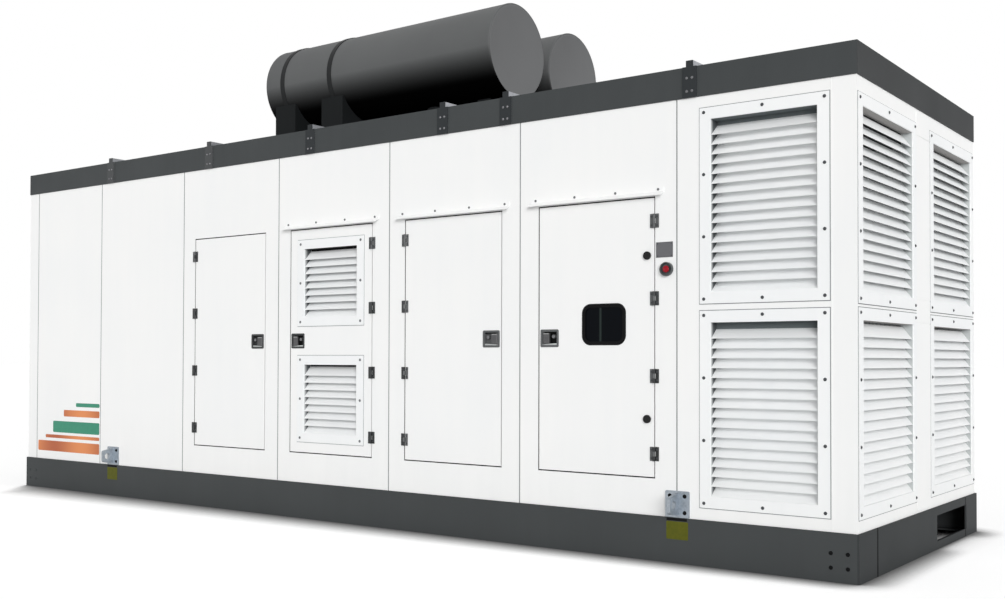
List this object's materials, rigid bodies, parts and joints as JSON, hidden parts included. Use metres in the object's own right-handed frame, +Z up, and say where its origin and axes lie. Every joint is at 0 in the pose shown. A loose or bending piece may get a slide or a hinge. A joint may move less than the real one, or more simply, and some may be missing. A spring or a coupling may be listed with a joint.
{
  "type": "canopied generator set",
  "caption": "Long walled steel enclosure on a skid base with hinged access doors, air louvres, lifting lugs and round exhaust silencers lying on the roof.",
  "frame": {"origin": "on the ground at the middle of the skid base", "axes": "+X towards the radiator end with louvres, -Y towards the side with the working doors, +Z up"},
  "size_m": [8, 2.648, 3.8743],
  "materials": {
    "panel_white": "semi-gloss powder coat",
    "frame_grey": "satin paint",
    "floor_grey": "satin paint",
    "louvre_white": "semi-gloss powder coat",
    "silencer_grey": "heat resistant matt paint",
    "strap_black": "satin paint",
    "hinge_black": "satin paint",
    "paddle_grey": "satin die casting",
    "galvanised": "galvanised",
    "plate_grey": "matt anodised",
    "shroud_grey": "moulded",
    "stop_red": "moulded",
    "gasket_black": "extruded seal",
    "window_glass": "dark tinted"
  },
  "bodies": {
    "canopy": {"base_side_rails": "frame_grey", "base_end_members": "frame_grey", "base_cross_members": "frame_grey", "floor_plate": "floor_grey", "corner_posts": "panel_white", "seam_posts": "panel_white", "front_panels": "panel_white", "front_piers": "panel_white", "front_rails": "panel_white", "rear_panels": "panel_white", "rear_piers": "panel_white", "rear_rails": "panel_white", "end_piers": "panel_white", "end_rails": "panel_white", "roof_rim": "frame_grey", "roof_deck": "frame_grey", "roof_beams": "frame_grey", "bay_louvres": "louvre_white", "right_end_louvres": "louvre_white", "left_end_louvres": "louvre_white", "silencers": "silencer_grey", "silencer_straps": "strap_black", "silencer_saddles": "frame_grey", "exhaust_pipes": "silencer_grey", "door_stops": "panel_white", "door_gutters": "panel_white", "hinge_fixed_leaves": "hinge_black", "lifting_lugs": "galvanised", "rating_plate": "plate_grey", "stop_button_shroud": "shroud_grey", "rear_doors": "panel_white", "rear_door_hinges": "hinge_black", "rear_door_latches": "hinge_black"},
    "door_1": {"door_1_leaf": "panel_white", "door_1_hardware": "hinge_black"},
    "door_2": {"door_2_leaf": "panel_white", "door_2_hardware": "hinge_black", "door_2_louvres": "louvre_white"},
    "door_3": {"door_3_leaf": "panel_white", "door_3_hardware": "hinge_black"},
    "door_4": {"door_4_leaf": "panel_white", "door_4_hardware": "hinge_black", "door_4_gasket": "gasket_black", "door_4_window": "window_glass"},
    "handle_1": {"door_1_handle": "paddle_grey"},
    "handle_2": {"door_2_handle": "paddle_grey"},
    "handle_3": {"door_3_handle": "paddle_grey"},
    "handle_4": {"door_4_handle": "paddle_grey"},
    "stop_plunger": {"stop_button": "stop_red"}
  },
  "joints": [
    {"name": "door_1_hinge", "type": "hinge", "parent": "canopy", "child": "door_1", "pos_m": [-1.549, -1.217, 1.345], "axis": [0, 0, -1], "range_deg": [0, 95]},
    {"name": "door_2_hinge", "type": "hinge", "parent": "canopy", "child": "door_2", "pos_m": [0.433, -1.217, 1.345], "axis": [0, 0, 1], "range_deg": [0, 95]},
    {"name": "door_3_hinge", "type": "hinge", "parent": "canopy", "child": "door_3", "pos_m": [0.751, -1.217, 1.345], "axis": [0, 0, -1], "range_deg": [0, 95]},
    {"name": "door_4_hinge", "type": "hinge", "parent": "canopy", "child": "door_4", "pos_m": [2.749, -1.217, 1.345], "axis": [0, 0, 1], "range_deg": [0, 95]},
    {"name": "door_1_latch", "type": "hinge", "parent": "door_1", "child": "handle_1", "pos_m": [-0.739, -1.206, 1.345], "axis": [0, 0, 1], "range_deg": [0, 40], "stiffness_Nm_per_rad": 0.6},
    {"name": "door_2_latch", "type": "hinge", "parent": "door_2", "child": "handle_2", "pos_m": [-0.377, -1.206, 1.345], "axis": [0, 0, -1], "range_deg": [0, 40], "stiffness_Nm_per_rad": 0.6},
    {"name": "door_3_latch", "type": "hinge", "parent": "door_3", "child": "handle_3", "pos_m": [1.561, -1.206, 1.345], "axis": [0, 0, 1], "range_deg": [0, 40], "stiffness_Nm_per_rad": 0.6},
    {"name": "door_4_latch", "type": "hinge", "parent": "door_4", "child": "handle_4", "pos_m": [1.939, -1.206, 1.345], "axis": [0, 0, -1], "range_deg": [0, 40], "stiffness_Nm_per_rad": 0.6},
    {"name": "stop_button_push", "type": "slide", "parent": "canopy", "child": "stop_plunger", "axis": [0, 1, 0], "range_m": [0, 0.003]}
  ]
}
